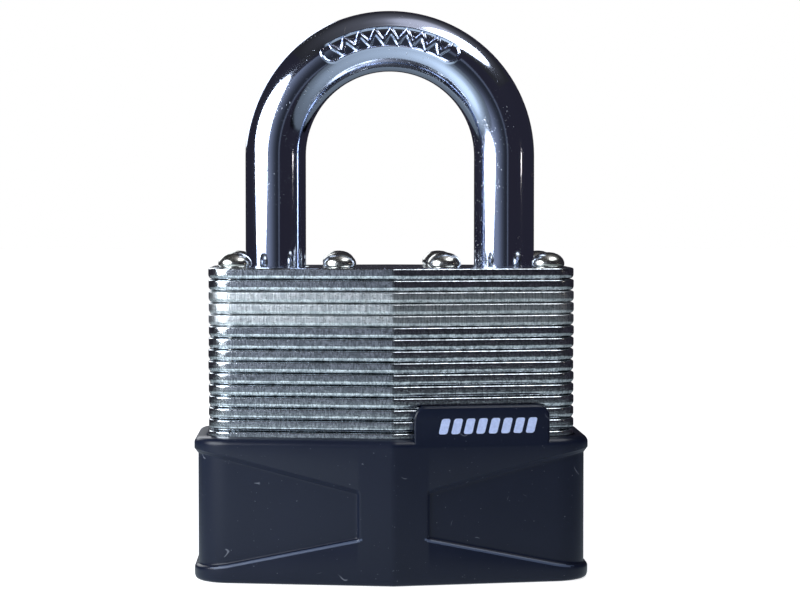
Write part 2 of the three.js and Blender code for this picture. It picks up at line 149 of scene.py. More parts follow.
def stage_plane(name, centre, rotation, width, height, material):
    bm = bmesh.new()
    bmesh.ops.create_grid(bm, x_segments=1, y_segments=1, size=0.5)
    bmesh.ops.scale(bm, vec=(width * MM, height * MM, 1), verts=bm.verts)
    mesh = bpy.data.meshes.new(name)
    bm.to_mesh(mesh)
    bm.free()
    mesh.materials.append(material)
    plane = bpy.data.objects.new(name, mesh)
    scene.collection.objects.link(plane)
    plane.location = Vector(centre) * MM
    plane.rotation_euler = rotation
    return plane


def glow(name, base, color, falloff):
    """A material that shines. falloff holds (distance, strength) pairs, in millimetres from the object's
    origin for a round pattern, or along its X where the distances start below zero."""
    material = bpy.data.materials.new(name)
    material.use_nodes = True
    tree = material.node_tree
    shader = tree.nodes["Principled BSDF"]
    shader.inputs["Base Color"].default_value = (*base, 1)
    shader.inputs["Roughness"].default_value = 0.9
    shader.inputs["Specular IOR Level"].default_value = 0
    shader.inputs["Emission Color"].default_value = (*color, 1)
    place = tree.nodes.new("ShaderNodeTexCoord").outputs["Object"]
    if falloff[0][0] < 0:
        split = tree.nodes.new("ShaderNodeSeparateXYZ")
        tree.links.new(place, split.inputs[0])
        distance = split.outputs["X"]
    else:
        length = tree.nodes.new("ShaderNodeVectorMath")
        length.operation = "LENGTH"
        tree.links.new(place, length.inputs[0])
        distance = length.outputs["Value"]
    near, far = falloff[0][0], falloff[-1][0]
    spread = tree.nodes.new("ShaderNodeMapRange")
    spread.inputs["From Min"].default_value = near * MM
    spread.inputs["From Max"].default_value = far * MM
    tree.links.new(distance, spread.inputs["Value"])
    curve = tree.nodes.new("ShaderNodeFloatCurve")
    points = curve.mapping.curves[0].points
    while len(points) < len(falloff):
        points.new(0.5, 0.5)
    for point, (at, strength) in zip(points, falloff):
        point.location = ((at - near) / (far - near), strength)
        point.handle_type = "VECTOR"
    curve.mapping.update()
    tree.links.new(spread.outputs["Result"], curve.inputs["Value"])
    tree.links.new(curve.outputs["Value"], shader.inputs["Emission Strength"])
    return material


def reflection_card(name, centre, rotation, width, height, color, falloff):
    """A card that only shows in the metal's reflections."""
    card = stage_plane(name, centre, rotation, width, height, glow(name, (0, 0, 0), color, falloff))
    card.visible_camera = False
    card.visible_diffuse = False
    card.visible_shadow = False
    return card


def add_floor():
    paint = glow("floor_paint", (0.8, 0.8, 0.82), (1, 1, 1), FLOOR_FALLOFF)
    floor = stage_plane("floor", (0, 0, FLOOR_Z), FLAT, FLOOR_SIZE, FLOOR_SIZE, paint)
    floor.visible_glossy = False


def add_cards():
    """What the metal reflects: a lit table, a card behind the camera and a ceiling."""
    table = reflection_card("table_card", (-75, -70, -0.3), FLAT, 480, 480, (0.8, 0.93, 1), TABLE_FALLOFF)
    table.scale.x = TABLE_STRETCH
    reflection_card("front_card", (-157, -480, 90), UPRIGHT, 560, 420, (0.72, 0.8, 1), FRONT_FALLOFF)
    reflection_card("ceiling_card", (90, -40, 320), FLAT, 640, 640, (1, 0.97, 1), CEILING_FALLOFF)


def add_lights():
    area_light("left_softbox", (-147, -88, 102), (0, 0, 102), 176, 145, 7, (0.90, 0.95, 1))
    area_light("top_softbox", (115, -76, 248), (5, -3, 72), 190, 115, 4, (0.92, 0.96, 1))
    area_light("right_lamp", (189, -77, 64), (0, 0, 55), 8, 9, 9, (1, 0.86, 0.7))
    area_light("rear_softbox", (-130, 260, 150), (0, 0, 35), 220, 160, 2.2, (0.92, 0.96, 1))


def add_world():
    """A white backdrop for the camera and a dim room for everything else."""
    world = bpy.data.worlds.new("studio")
    world.use_nodes = True
    scene.world = world
    tree = world.node_tree
    tree.nodes.clear()
    room = tree.nodes.new("ShaderNodeBackground")
    room.inputs["Color"].default_value = (0.026, 0.024, 0.034, 1)
    backdrop = tree.nodes.new("ShaderNodeBackground")
    backdrop.inputs["Color"].default_value = (1, 1, 1, 1)
    path = tree.nodes.new("ShaderNodeLightPath")
    mix = tree.nodes.new("ShaderNodeMixShader")
    output = tree.nodes.new("ShaderNodeOutputWorld")
    tree.links.new(path.outputs["Is Camera Ray"], mix.inputs["Fac"])
    tree.links.new(room.outputs[0], mix.inputs[1])
    tree.links.new(backdrop.outputs[0], mix.inputs[2])
    tree.links.new(mix.outputs[0], output.inputs["Surface"])
    scene.view_settings.view_transform = "Standard"


# ---- Materials ----
class Paint:
    """A Principled material with procedural patterns measured in the part's own space."""

    def __init__(self, name, metallic, roughness, **values):
        self.material = bpy.data.materials.new(name)
        self.material.use_nodes = True
        self.tree = self.material.node_tree
        self.shader = self.tree.nodes["Principled BSDF"]
        self.shader.inputs["Metallic"].default_value = metallic
        self.shader.inputs["Roughness"].default_value = roughness
        for key, value in values.items():
            self.shader.inputs[key.replace("_", " ")].default_value = value
        self.place = self.node("ShaderNodeTexCoord").outputs["Object"]

    def node(self, kind, inputs=(), **settings):
        made = self.tree.nodes.new(kind)
        for key, value in settings.items():
            setattr(made, key, value)
        for key, value in dict(inputs).items():
            if isinstance(value, bpy.types.NodeSocket):
                self.tree.links.new(value, made.inputs[key])
            else:
                made.inputs[key].default_value = value
        return made

    def grain(self, size, stretch=(1, 1, 1), detail=3, seed=0):
        """Noise whose marks are about size millimetres across, drawn out along each axis by stretch."""
        scale = [1 / (size * MM * s) for s in stretch]
        mapped = self.node(
            "ShaderNodeMapping",
            {"Vector": self.place, "Scale": scale, "Location": (seed, seed, seed)},
        )
        return self.node(
            "ShaderNodeTexNoise", {"Vector": mapped.outputs[0], "Scale": 1, "Detail": detail}
        ).outputs["Fac"]

    def ramp(self, source, low, high, from_value, to_value):
        """source between low and high, turned into a number between from_value and to_value."""
        made = self.node(
            "ShaderNodeMapRange",
            {
                "Value": source,
                "From Min": low,
                "From Max": high,
                "To Min": from_value,
                "To Max": to_value,
            },
        )
        return made.outputs["Result"]

    def color_mix(self, share, first, second):
        made = self.node("ShaderNodeMix", data_type="RGBA")
        for index, value in ((6, first), (7, second)):
            if isinstance(value, bpy.types.NodeSocket):
                self.tree.links.new(value, made.inputs[index])
            else:
                made.inputs[index].default_value = (*value, 1)
        self.tree.links.new(share, made.inputs[0])
        return made.outputs[2]

    def math(self, operation, first, second=0):
        return self.node("ShaderNodeMath", {0: first, 1: second}, operation=operation).outputs[0]

    def bump(self, height, distance, strength, under=None):
        """Relief of the given depth in millimetres."""
        inputs = {"Height": height, "Distance": distance * MM, "Strength": strength}
        if under is not None:
            inputs["Normal"] = under
        return self.node("ShaderNodeBump", inputs).outputs["Normal"]

    def set(self, **sockets):
        for key, value in sockets.items():
            self.tree.links.new(value, self.shader.inputs[key.replace("_", " ")])


def zinc_paint(name, dull, bright, mark_length, shear_depth, low_roughness, high_roughness):
    """Bright zinc on sheared steel: upright shear marks, blotches and small pits."""
    paint = Paint(name, 1, low_roughness)
    shear = paint.grain(0.2, (1, 1, mark_length), detail=2)
    blotch = paint.grain(1.1, (1, 1, 0.7), detail=5, seed=3)
    mottle = paint.grain(0.3, (1.4, 1.4, 0.8), detail=3, seed=9)
    share = paint.ramp(paint.math("MULTIPLY", blotch, shear), 0.17, 0.33, 0, 1)
    tone = paint.color_mix(share, dull, bright)
    dark = paint.ramp(mottle, 0.55, 0.68, 0, 0.55)
    paint.set(
        Base_Color=paint.color_mix(dark, tone, (0.15, 0.155, 0.16)),
        Roughness=paint.ramp(blotch, 0.3, 0.7, high_roughness, low_roughness),
        Normal=paint.bump(shear, shear_depth, 0.8, paint.bump(mottle, 0.015, 0.7)),
    )
    return paint.material


def hairlines(paint, size, patch, seed):
    """Short curved scratches: thin contour lines of one noise, kept only in a few patches of another."""
    wave = paint.grain(size, detail=1, seed=seed)
    off = paint.math("ABSOLUTE", paint.math("SUBTRACT", wave, 0.5))
    line = paint.ramp(off, 0.001, 0.005, 1, 0)
    where = paint.ramp(paint.grain(patch, detail=1, seed=seed + 20), 0.66, 0.70, 0, 1)
    return paint.math("MULTIPLY", line, where)


def chrome_paint():
    """Mirror chrome with a cool cast, patches of fine pits, hairline scratches and rubbed places."""
    paint = Paint("shackle_chrome", 1, 0.09)
    pits = paint.grain(0.3, detail=1, seed=5)
    patches = paint.grain(7, (1, 1, 1.6), detail=2, seed=2)
    fine = paint.grain(0.14, detail=2, seed=7)
    pitted = paint.ramp(patches, 0.46, 0.60, 0, 1)
    spots = paint.math("MULTIPLY", paint.ramp(pits, 0.69, 0.74, 0, 1), pitted)
    marks = paint.math("MAXIMUM", spots, hairlines(paint, 4, 2.2, 15))
    rubbed_wear_and_painted_highlight = paint.ramp(patches, 0.4, 0.7, 0.075, 0.14)
    paint.set(
        Base_Color=paint.color_mix(marks, (0.60, 0.67, 0.86), (0.82, 0.85, 0.93)),
        Roughness=paint.math("ADD", rubbed_wear_and_painted_highlight, paint.ramp(marks, 0, 1, 0, 0.22)),
        Normal=paint.bump(spots, 0.02, 0.6, paint.bump(fine, 0.003, 0.4)),
    )
    return paint.material


def rivet_paint():
    """Polished, slightly warm steel with the faint rings and dents of the heading tool."""
    paint = Paint("rivet_steel", 1, 0.22)
    dents = paint.grain(0.8, detail=2, seed=4)
    fine = paint.grain(0.1, detail=2, seed=6)
    paint.set(
        Base_Color=paint.color_mix(dents, (0.50, 0.50, 0.47), (0.70, 0.70, 0.66)),
        Roughness=paint.ramp(fine, 0.3, 0.7, 0.16, 0.28),
        Normal=paint.bump(dents, 0.05, 0.5),
    )
    return paint.material


def plastic_paint(name, first, second):
    """Dark satin plastic with a fine moulded grain, dust specks and light scuffs."""
    paint = Paint(name, 0, 0.3, Specular_IOR_Level=0.34)
    grain = paint.grain(0.07, detail=2)
    cloud = paint.grain(9, detail=3, seed=1)
    dust = paint.grain(0.3, detail=1, seed=8)
    specks = paint.ramp(dust, 0.76, 0.80, 0, 0.4)
    scuffs = paint.math("MULTIPLY", hairlines(paint, 6, 2.6, 11), 0.55)
    marks = paint.math("MAXIMUM", specks, scuffs)
    tone = paint.color_mix(cloud, first, second)
    paint.set(
        Base_Color=paint.color_mix(marks, tone, (0.20, 0.22, 0.27)),
        Roughness=paint.ramp(cloud, 0.3, 0.7, 0.28, 0.32),
        Normal=paint.bump(grain, 0.005, 0.35),
    )
    return paint.material


def print_paint():
    """Pale lavender ink, a little thin in places."""
    paint = Paint("tab_ink", 0, 0.5)
    thin = paint.grain(0.35, detail=3, seed=13)
    share = paint.ramp(thin, 0.3, 0.7, 0, 1)
    paint.set(Base_Color=paint.color_mix(share, (0.36, 0.45, 0.72), (0.46, 0.56, 0.84)))
    return paint.material


def plain_metal(name, color, roughness, mark):
    """Machined or drawn metal whose tool marks are about mark millimetres wide."""
    paint = Paint(name, 1, roughness)
    marks = paint.grain(mark, (6, 6, 1), detail=3)
    dull = tuple(0.72 * c for c in color)
    paint.set(
        Base_Color=paint.color_mix(paint.ramp(marks, 0.35, 0.65, 0, 1), dull, color),
        Roughness=paint.ramp(marks, 0.3, 0.7, roughness * 1.25, roughness * 0.8),
        Normal=paint.bump(marks, 0.008, 0.5),
    )
    return paint.material


# ---- Mesh helpers, all in millimetres ----
SHARP_ANGLE = 32


def ring(bm, points):
    return [bm.verts.new(p) for p in points]


def bridge(bm, first, second):
    count = len(first)
    for i in range(count):
        j = (i + 1) % count
        bm.faces.new((first[i], first[j], second[j], second[i]))


def loft(bm, loops):
    """Skins a row of closed loops with the same number of points and returns their rings of vertices."""
    rings = [ring(bm, loop) for loop in loops]
    for first, second in zip(rings, rings[1:]):
        bridge(bm, first, second)
    return rings


def fill(bm, *rings):
    """Fills a flat face whose outline is the first ring and whose holes are the others."""
    corners = [vert for one in rings for vert in one]
    for triangle in geometry.tessellate_polygon([[vert.co for vert in one] for one in rings]):
        bm.faces.new([corners[i] for i in triangle])


def circle(x, y, z, radius, count):
    turn = 2 * math.pi / count
    return [(x + radius * math.cos(i * turn), y + radius * math.sin(i * turn), z) for i in range(count)]


def turned(profile, count):
    """A shape turned about Z from (radius, z) pairs. The first and last are closed with flat discs."""
    bm = bmesh.new()
    rings = loft(bm, [circle(0, 0, z, radius, count) for radius, z in profile])
    fill(bm, rings[0])
    fill(bm, rings[-1])
    return bm


def prism(outline, low, high):
    """An outline of (x, y) points raised along Z."""
    bm = bmesh.new()
    rings = loft(bm, [[(x, y, low) for x, y in outline], [(x, y, high) for x, y in outline]])
    fill(bm, rings[0])
    fill(bm, rings[-1])
    return bm


def cuboid(low, high):
    outline = [(low[0], low[1]), (high[0], low[1]), (high[0], high[1]), (low[0], high[1])]
    return prism(outline, low[2], high[2])


def moved(bm, matrix):
    bmesh.ops.transform(bm, matrix=matrix, verts=bm.verts)
    return bm


def temporary(bm):
    bmesh.ops.recalc_face_normals(bm, faces=bm.faces)
    mesh = bpy.data.meshes.new("temporary")
    bm.to_mesh(mesh)
    bm.free()
    obj = bpy.data.objects.new("temporary", mesh)
    scene.collection.objects.link(obj)
    return obj


def combine(bm, tool, operation):
    """bm with another closed shape cut away (DIFFERENCE) or joined (UNION)."""
    base, other = temporary(bm), temporary(tool)
    modifier = base.modifiers.new("combine", "BOOLEAN")
    modifier.operation = operation
    modifier.solver = "EXACT"
    modifier.object = other
    evaluated = base.evaluated_get(bpy.context.evaluated_depsgraph_get())
    result = bmesh.new()
    result.from_mesh(evaluated.to_mesh())
    evaluated.to_mesh_clear()
    for obj in (base, other):
        mesh = obj.data
        bpy.data.objects.remove(obj)
        bpy.data.meshes.remove(mesh)
    return result


def piece(name, bm, paint, replaced, body, sharp=SHARP_ANGLE):
    """Turns a shape in millimetres into a piece of the part, riding on a body if one is named. Edges that
    bend by sharp degrees or more are shown sharp."""
    bmesh.ops.recalc_face_normals(bm, faces=bm.faces)
    limit = math.radians(sharp)
    for face in bm.faces:
        face.smooth = True
    for edge in bm.edges:
        edge.smooth = len(edge.link_faces) == 2 and edge.calc_face_angle() < limit
    bmesh.ops.scale(bm, vec=(MM, MM, MM), verts=bm.verts)
    mesh = bpy.data.meshes.new(name)
    bm.to_mesh(mesh)
    bm.free()
    mesh.materials.append(paint)
    obj = bpy.data.objects.new(name, mesh)
    scene.collection.objects.link(obj)
    if replaced:
        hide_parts(replaced)
    if body:
        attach(obj, body)
    return obj


# ---- The body's plan ----
TOP_CORNER = box_mm("plate_26")[1]
HALF_WIDTH = TOP_CORNER.x
HALF_DEPTH = TOP_CORNER.y
BODY_TOP = TOP_CORNER.z
FACET_SLOPE = 0.165
CORNER_RADIUS = 3.6
CORNER_STEPS = 12
FACET_LEAN = math.hypot(1, FACET_SLOPE)
CORNER_X = HALF_WIDTH - CORNER_RADIUS
CORNER_Y = HALF_DEPTH - FACET_SLOPE * CORNER_X - CORNER_RADIUS * FACET_LEAN


def quarter_plan(facet_x):
    """A quarter of the plan, from the ridge to the middle of the side, as pairs of a point on the plates'
    outline and the direction in which it moves when the outline grows."""
    columns = [(Vector((0, HALF_DEPTH)), Vector((0, FACET_LEAN)))]
    outward = Vector((FACET_SLOPE, 1)) / FACET_LEAN
    columns += [(Vector((x, HALF_DEPTH - FACET_SLOPE * x)), outward) for x in facet_x]
    sweep = math.atan2(1, FACET_SLOPE)
    for i in range(CORNER_STEPS + 1):
        angle = sweep * (1 - i / CORNER_STEPS)
        outward = Vector((math.cos(angle), math.sin(angle)))
        columns.append((Vector((CORNER_X, CORNER_Y)) + CORNER_RADIUS * outward, outward))
    columns += [(Vector((HALF_WIDTH, CORNER_Y * share)), Vector((1, 0))) for share in (0.75, 0.5, 0.25, 0)]
    return columns


def whole_plan(facet_x):
    """The whole plan, anticlockwise from the front ridge."""
    quarter = quarter_plan(facet_x)

    def flipped(sx, sy):
        return [(Vector((p.x * sx, p.y * sy)), Vector((d.x * sx, d.y * sy))) for p, d in quarter]

    right = flipped(1, -1) + flipped(1, 1)[::-1][1:]
    left = flipped(-1, 1)[1:] + flipped(-1, -1)[::-1][1:-1]
    return right + left


def steps(first, last, spacing):
    count = max(1, round((last - first) / spacing))
    return [first + (last - first) * i / count for i in range(count + 1)]


# ---- Plates ----
PLATE_COLUMNS = whole_plan([0.2] + steps(1, 21, 0.8))
# Height above the plate's underside, how far the edge is drawn in there, and how unevenly that row runs.
PLATE_PROFILE = [
    (0, 0.62, 0),
    (0.02, 0.46, 0),
    (0.05, 0.32, 0),
    (0.10, 0.22, 0),
    (0.16, 0.165, 0),
    (0.29, 0.08, 0.03),
    (0.40, 0.03, 0.06),
    (0.48, 0.008, 0.06),
    (0.54, 0, 0.06),
    (0.60, 0, 0.05),
    (0.90, 0, 0),
    (1.26, 0, 0),
    (1.32, 0.006, 0),
    (1.37, 0.027, 0),
    (1.415, 0.062, 0),
    (1.46, 0.12, 0),
    (1.50, 0.21, 0),
    (1.53, 0.34, 0),
    (1.55, 0.62, 0),
]
STACK_WANDER = 0.045
SHEARED_PLATES = (22, 23, 24)
UNEVEN_SCALE = 0.7
HOLE_CHAMFER = 0.12
HOLE_SIDES = 56
# Holes narrower than this in the CAD plates are the rivets'. They are made to fit the round shank closely.
RIVET_HOLE_LIMIT = 2
RIVET_HOLE_RADIUS = 1.68
RIVET_HOLE_CHAMFER = 0.05
RIVET_HOLE_SIDES = 24
ROUND_TOLERANCE = 0.01


def cad_holes(node):
    """The holes in a CAD plate's top face, as lists of (x, y)."""
    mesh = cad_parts[node].data
    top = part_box(node)[1].z
    spots = [tuple(round(c / MM, 4) for c in v.co) for v in mesh.vertices]
    level = {i for i, v in enumerate(mesh.vertices) if abs(v.co.z - top) < 1e-6}
    edges = set()
    for polygon in mesh.polygons:
        corners = list(polygon.vertices)
        if level.issuperset(corners):
            edges |= {(spots[a], spots[b]) for a, b in zip(corners, corners[1:] + corners[:1])}
    following = {a: b for a, b in edges if (b, a) not in edges}
    loops = []
    while following:
        start, spot = following.popitem()
        loop = [start[:2]]
        while spot != start:
            loop.append(spot[:2])
            spot = following.pop(spot)
        loops.append(loop)
    loops.sort(key=lambda loop: max(x for x, y in loop) - min(x for x, y in loop))
    return sorted(loops[:-1])


def hole_loops(loop, low, high):
    """A hole's wall from low to high. A round hole is made truly round, with a small chamfer at each end,
    and a rivet's hole is made to fit its shank. Any other hole keeps its CAD outline."""
    x = sum(p[0] for p in loop) / len(loop)
    y = sum(p[1] for p in loop) / len(loop)
    radii = [math.hypot(p[0] - x, p[1] - y) for p in loop]
    if max(radii) - min(radii) > ROUND_TOLERANCE:
        return [[(*p, low) for p in loop], [(*p, high) for p in loop]]
    radius, chamfer, count = radii[0], HOLE_CHAMFER, HOLE_SIDES
    if radius < RIVET_HOLE_LIMIT:
        radius, chamfer, count = RIVET_HOLE_RADIUS, RIVET_HOLE_CHAMFER, RIVET_HOLE_SIDES
    rows = [
        (radius + chamfer, low),
        (radius, low + chamfer),
        (radius, high - chamfer),
        (radius + chamfer, high),
    ]
    return [circle(x, y, z, r, count) for r, z in rows]


def plate(node, rng):
    """A plate with rolled edges, shifted a little and with an uneven edge, both at random."""
    low = box_mm(node)[0]
    wander = Vector((rng.uniform(-1, 1), rng.uniform(-1, 1))) * STACK_WANDER
    seed = rng.uniform(0, 100)
    bm = bmesh.new()
    loops = []
    for height, inset, uneven in PLATE_PROFILE:
        loop = []
        for spot, outward in PLATE_COLUMNS:
            rise = uneven * noise.noise(Vector((spot.x * UNEVEN_SCALE, spot.y * UNEVEN_SCALE, seed)))
            place = spot + wander - inset * outward
            loop.append((place.x, place.y, low.z + height + rise))
        loops.append(loop)
    outer = loft(bm, loops)
    top = low.z + PLATE_PROFILE[-1][0]
    holes = [loft(bm, hole_loops(loop, low.z, top)) for loop in cad_holes(node)]
    fill(bm, outer[0], *[hole[0] for hole in holes])
    fill(bm, outer[-1], *[hole[-1] for hole in holes])
    return bm


# ---- Rivets ----
RIVET_SHANK_RADIUS = 1.6
RIVET_END_CHAMFER = 0.15
RIVET_SEAT_GAP = 0.04
RIVET_SIDES = 40
# Radius and height above the seat, from the middle of the head's top down to its underside.
RIVET_HEAD = [
    (0.25, 2.0),
    (0.8, 1.93),
    (1.35, 1.74),
    (1.8, 1.44),
    (2.1, 1.1),
    (2.26, 0.75),
    (2.3, 0.45),
    (2.24, 0.2),
    (2.08, 0.03),
]


def rivet(node):
    low, high = box_mm(node)
    seat = BODY_TOP + RIVET_SEAT_GAP
    lift = high.z - seat - RIVET_HEAD[0][1]
    shank = RIVET_SHANK_RADIUS
    profile = [(radius, seat + height + lift * height / RIVET_HEAD[0][1]) for radius, height in RIVET_HEAD]
    end = RIVET_END_CHAMFER
    profile += [(shank, seat + 0.03), (shank, low.z + end), (shank - end, low.z)]
    middle = (low + high) / 2
    return moved(turned(profile, RIVET_SIDES), Matrix.Translation((middle.x, middle.y, 0)))


# ---- Shackle ----
ROD_RADIUS = 4.25
LEG_X = 16.1
BOW_Z = BODY_TOP + 15.55
NOTCH_SLACK = 0.25
NOTCH_DEPTH = 1.8
END_GAP = 0.35
NECK_RADIUS = 2.5
GROOVE_RADIUS = 1.9
GROOVE_SLACK = 0.1
TOE_CHAMFER = 1
PANEL_OFFSET = 0.4
PANEL_HALF_LENGTH = 9.94
PANEL_HALF_WIDTH = 1.35
PANEL_DEPTH = 0.26
PANEL_WALL = 0.16
PANEL_RIM = 0.07
PANEL_RIM_OFFSET = 0.08
PANEL_RIM_WIDTH = 0.12
PANEL_SIDE_MARGIN = 0.35
PANEL_END_MARGIN = 0.5
ZIGZAG_COUNT = 8
ZIGZAG_PERIOD = 2.1
ZIGZAG_HALF_HEIGHT = 0.8
ZIGZAG_HALF_WIDTH = 0.23
ZIGZAG_WALL_START = -0.03
ZIGZAG_WALL = 0.14
# Degrees between the points of a ring, on the panel and elsewhere, and between rings round the bow.
RING_FINE_STEP = 1.35
RING_COARSE_STEP = 6.5
BOW_FINE_STEP = 0.42
BOW_COARSE_STEP = 3
LEG_STEP = 2
# Radius and height above the toe's end.
TOE_ROWS = [(0.3, 0), (ROD_RADIUS - 1.3, 0), (ROD_RADIUS - 1.05, 0.12), (ROD_RADIUS - 0.15, 0.95)]


def soft_step(value, edge, width):
    """0 below edge and 1 above edge + width, smooth between."""
    t = min(1, max(0, (value - edge) / width))
    return t * t * (3 - 2 * t)


def stamped_height(along, across):
    """The relief of the stamped panel at a place on the front of the bow: a sunk stadium with a raised rim
    and a plain zigzag."""
    across -= PANEL_OFFSET
    straight = PANEL_HALF_LENGTH - PANEL_HALF_WIDTH
    edge = math.hypot(max(abs(along) - straight, 0), across) - PANEL_HALF_WIDTH
    height = -PANEL_DEPTH * (1 - soft_step(edge, -PANEL_WALL, PANEL_WALL))
    height += PANEL_RIM * math.exp(-(((edge - PANEL_RIM_OFFSET) / PANEL_RIM_WIDTH) ** 2))
    wave = ZIGZAG_HALF_HEIGHT * (4 * abs((along / ZIGZAG_PERIOD) % 1 - 0.5) - 1)
    steepness = 4 * ZIGZAG_HALF_HEIGHT / ZIGZAG_PERIOD
    reach = abs(across - wave) / math.hypot(1, steepness) - ZIGZAG_HALF_WIDTH
    reach = max(reach, abs(along) - ZIGZAG_COUNT * ZIGZAG_PERIOD / 2)
    return height + PANEL_DEPTH * (1 - soft_step(reach, ZIGZAG_WALL_START, ZIGZAG_WALL))


def rod_angles():
    """Angles round the rod from its front, positive outwards, close together where the panel is."""
    low = math.asin((PANEL_OFFSET - PANEL_HALF_WIDTH - PANEL_SIDE_MARGIN) / ROD_RADIUS)
    high = math.asin((PANEL_OFFSET + PANEL_HALF_WIDTH + PANEL_SIDE_MARGIN) / ROD_RADIUS)
    fine = steps(low, high, math.radians(RING_FINE_STEP))
    coarse = steps(high, low + 2 * math.pi, math.radians(RING_COARSE_STEP))
    return fine + coarse[1:-1]


ROD_ANGLES = rod_angles()


def section(x, z, lean, radius, along=None):
    """A ring round the rod. lean is the angle of its outward side above the horizontal, and along is its
    distance from the middle of the bow where it may carry the panel."""
    points = []
    for angle in ROD_ANGLES:
        reach = radius
        if along is not None and math.cos(angle) > 0:
            reach += stamped_height(along, radius * math.sin(angle))
        side = reach * math.sin(angle)
        points.append((x + side * math.cos(lean), -reach * math.cos(angle), z + side * math.sin(lean)))
    return points


def toe_leg():
    """The rings from the toe's end up to the bow."""
    end = box_mm("plate_19")[1].z + END_GAP
    rows = [(radius, end + height) for radius, height in TOE_ROWS]
    rows += [(ROD_RADIUS, z) for z in steps(end + TOE_CHAMFER + 0.25, BOW_Z, LEG_STEP)]
    return [section(LEG_X, z, 0, radius) for radius, z in rows]


def bow():
    """The rings round the bow, close together where the panel is."""
    panel_x = LEG_X + PANEL_OFFSET
    half_panel = math.degrees((PANEL_HALF_LENGTH + PANEL_END_MARGIN) / panel_x)
    bends = steps(0, 90 - half_panel, BOW_COARSE_STEP)[1:-1]
    bends += steps(90 - half_panel, 90 + half_panel, BOW_FINE_STEP)
    bends += steps(90 + half_panel, 180, BOW_COARSE_STEP)[1:-1]
    loops = []
    for bend in bends:
        lean = math.radians(bend)
        along = (math.pi / 2 - lean) * panel_x
        x, z = LEG_X * math.cos(lean), BOW_Z + LEG_X * math.sin(lean)
        loops.append(section(x, z, lean, ROD_RADIUS, along))
    return loops


def heel_leg():
    """The rings from the bow down to the heel's end, past the shoulder and the clip's groove."""
    shoulder = box_mm("plate_17")[1].z + END_GAP
    end = box_mm("shackle")[0].z
    clip_low, clip_high = box_mm("shackle_retaining_clip")
    groove_top = clip_high.z + GROOVE_SLACK
    groove_bottom = clip_low.z - GROOVE_SLACK
    rows = [(ROD_RADIUS, z) for z in steps(BOW_Z, shoulder + 0.3, LEG_STEP)]
    rows += [
        (ROD_RADIUS - 0.3, shoulder),
        (NECK_RADIUS + 0.4, shoulder),
        (NECK_RADIUS, shoulder - 0.4),
        (NECK_RADIUS, groove_top),
        (GROOVE_RADIUS, groove_top),
        (GROOVE_RADIUS, groove_bottom),
        (NECK_RADIUS, groove_bottom),
        (NECK_RADIUS, end + 0.3),
        (NECK_RADIUS - 0.3, end),
        (0.2, end),
    ]
    return [section(-LEG_X, z, math.pi, radius) for radius, z in rows]


def notch(side, lever):
    """What is cut from a leg's inner side so that a lever can enter it."""
    low, high = box_mm(lever)
    floor = LEG_X - ROD_RADIUS + NOTCH_DEPTH
    reach = sorted((side * (LEG_X - ROD_RADIUS - 1), side * floor))
    bottom = (reach[0], -ROD_RADIUS - 1, low.z - NOTCH_SLACK)
    top = (reach[1], ROD_RADIUS + 1, high.z + NOTCH_SLACK)
    return cuboid(bottom, top)


def shackle():
    bm = bmesh.new()
    rings = loft(bm, toe_leg() + bow() + heel_leg())
    bm.faces.new(rings[0])
    bm.faces.new(rings[-1])
    bm = combine(bm, notch(1, "locking_lever_toe"), "DIFFERENCE")
    return combine(bm, notch(-1, "locking_lever_heel"), "DIFFERENCE")


# ---- Bumper ----
LIP_GROW = 2
WALL_GROW = 1.45
FIT_GROW = 0.2
FLOOR_TOP = 1.4
BUMPER_TOP = 19.9
OPENING_RADIUS = 7.5
PANEL_INNER_X = 4.2
PANEL_OUTER_X = 24.7
PANEL_LOW_Z = (6.2, 1.8)
PANEL_HIGH_Z = (13, 18.1)
PANEL_SLOPE = 0.6
LEDGE_RISE = 0.52
TAB_LOW_X = 2.8
TAB_HIGH_X = 21.5
TAB_CORNER = 1.6
TAB_BURIED = 1
TAB_ROUND = 0.45
TAB_CORNER_STEPS = 8
# How far the tab's outline is drawn in and how far back it lies, from its face to its full size.
TAB_EDGE = [(TAB_ROUND, 0.01), (0.22, 0.06), (0.07, 0.2), (0, TAB_ROUND)]
# Height above the foot and growth of the plan.
FOOT_ROWS = [
    (0, 1.35),
    (0.05, 1.55),
    (0.16, 1.75),
    (0.34, 1.89),
    (0.6, 1.97),
    (0.95, LIP_GROW),
    (1.4, LIP_GROW),
]
# Height above a panel's lower edge and share of its depth.
LEDGE_ROWS = [(-0.16, 0), (0, 0.08), (0.12, 0.2), (0.22, 0.36), (0.3, 0.6), (0.38, 0.9), (LEDGE_RISE, 1)]
# Share of the slope's height below a panel's upper edge and share of its depth.
SLOPE_ROWS = [(1.15, 1), (1, 0.96), (0.88, 0.8), (0.5, 0.5), (0.12, 0.2), (0, 0.04), (-0.15, 0)]
# Depth below the bumper's rim and growth of the plan, over the lip and down inside.
LIP_ROWS = [
    (1.2, LIP_GROW),
    (0.95, LIP_GROW),
    (0.75, 1.97),
    (0.5, 1.83),
    (0.32, 1.69),
    (0.2, 1.54),
    (0.12, 1.35),
    (0.03, 0.5),
    (0, 0.36),
    (0.03, 0.26),
    (0.15, FIT_GROW),
    (3, FIT_GROW),
]
WALL_ROWS = 6
# The ledge's painted highlight, a lighter plastic that stands in for the light the ledge catches: its
# heights about a panel's lower edge, and how far behind the ridge it reaches.
LEDGE_HIGHLIGHT_FROM = -0.03
LEDGE_HIGHLIGHT_TO = 0.32
LEDGE_HIGHLIGHT_REACH = 4.5
# Radius and height of the opening for the key, from the foot up.
BORE_ROWS = [
    (OPENING_RADIUS + 0.5, 0),
    (OPENING_RADIUS + 0.12, 0.3),
    (OPENING_RADIUS, 0.7),
    (OPENING_RADIUS, FLOOR_TOP),
]
BORE_SIDES = 64


def panel_depth(x):
    """How far the sunk panels go in at a distance from the ridge, from 0 to 1."""
    return soft_step(abs(x), PANEL_INNER_X - 0.02, PANEL_SLOPE)


